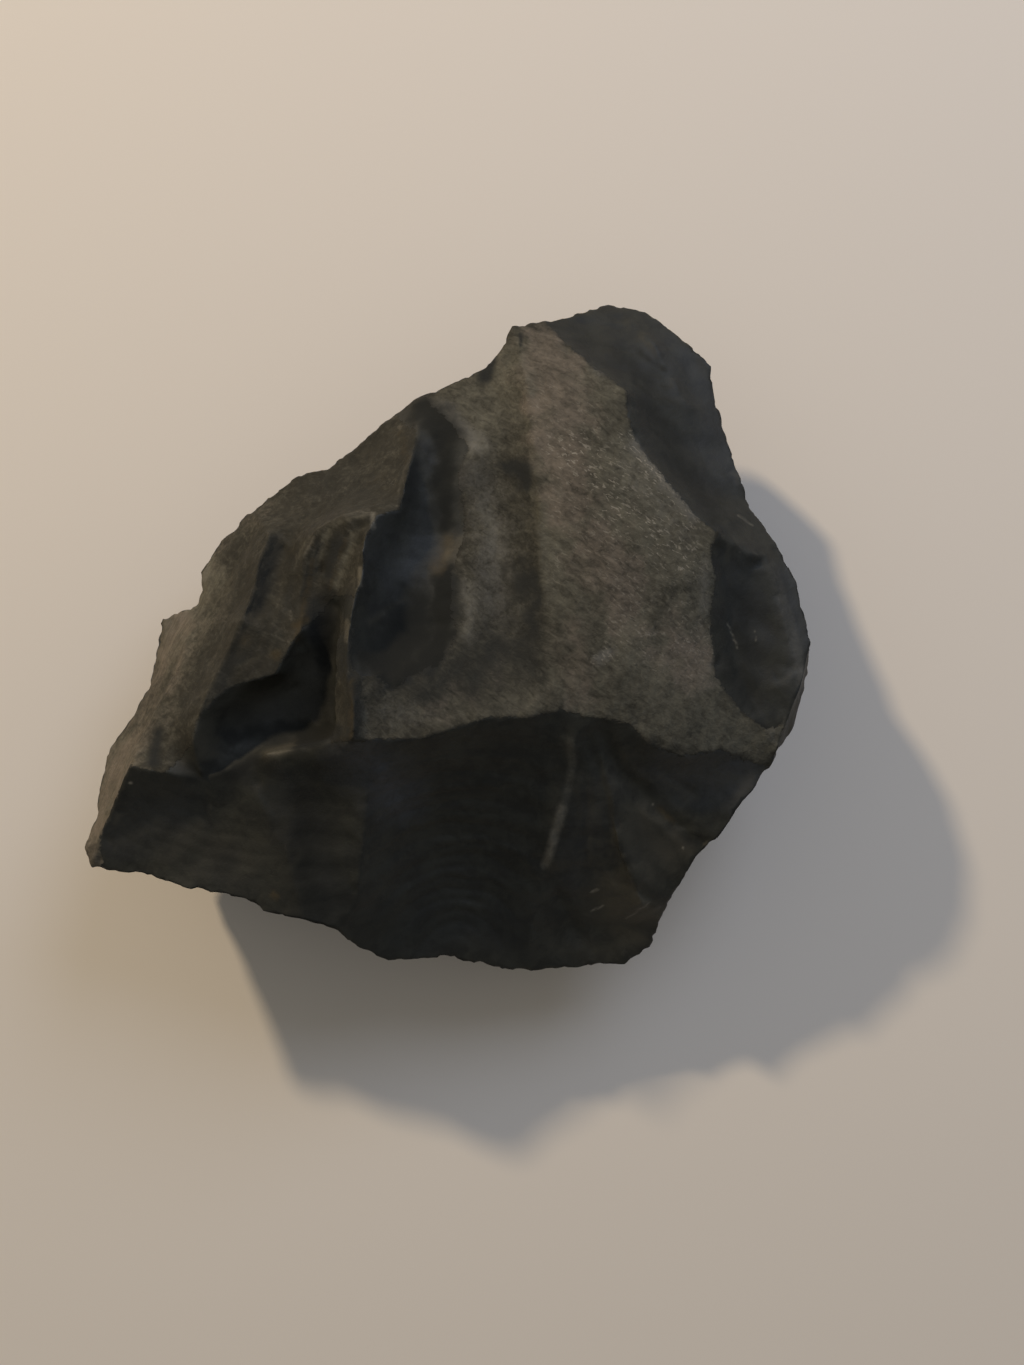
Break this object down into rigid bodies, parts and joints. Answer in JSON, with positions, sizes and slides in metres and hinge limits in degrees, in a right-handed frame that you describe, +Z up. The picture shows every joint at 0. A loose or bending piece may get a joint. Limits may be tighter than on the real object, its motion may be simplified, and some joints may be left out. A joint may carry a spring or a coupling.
{
  "type": "psilomelane specimen",
  "caption": "Hand specimen of massive psilomelane: a black broken lump with sharp ridges, shell-shaped fracture scars and a brown weathered crust face, resting flat.",
  "frame": {"origin": "middle of the bounding box, at the level the stone rests on", "axes": "+Z up from the flat underside, +X along the longest side towards the blunt right end, +Y towards the back"},
  "size_m": [0.0544, 0.0524, 0.0235],
  "materials": {
    "ore": "charcoal black fracture faces with a dull waxy lustre, partly covered by dusty grey-brown weathering crust"
  },
  "bodies": {
    "root": {"stone": "ore"}
  },
  "joints": []
}
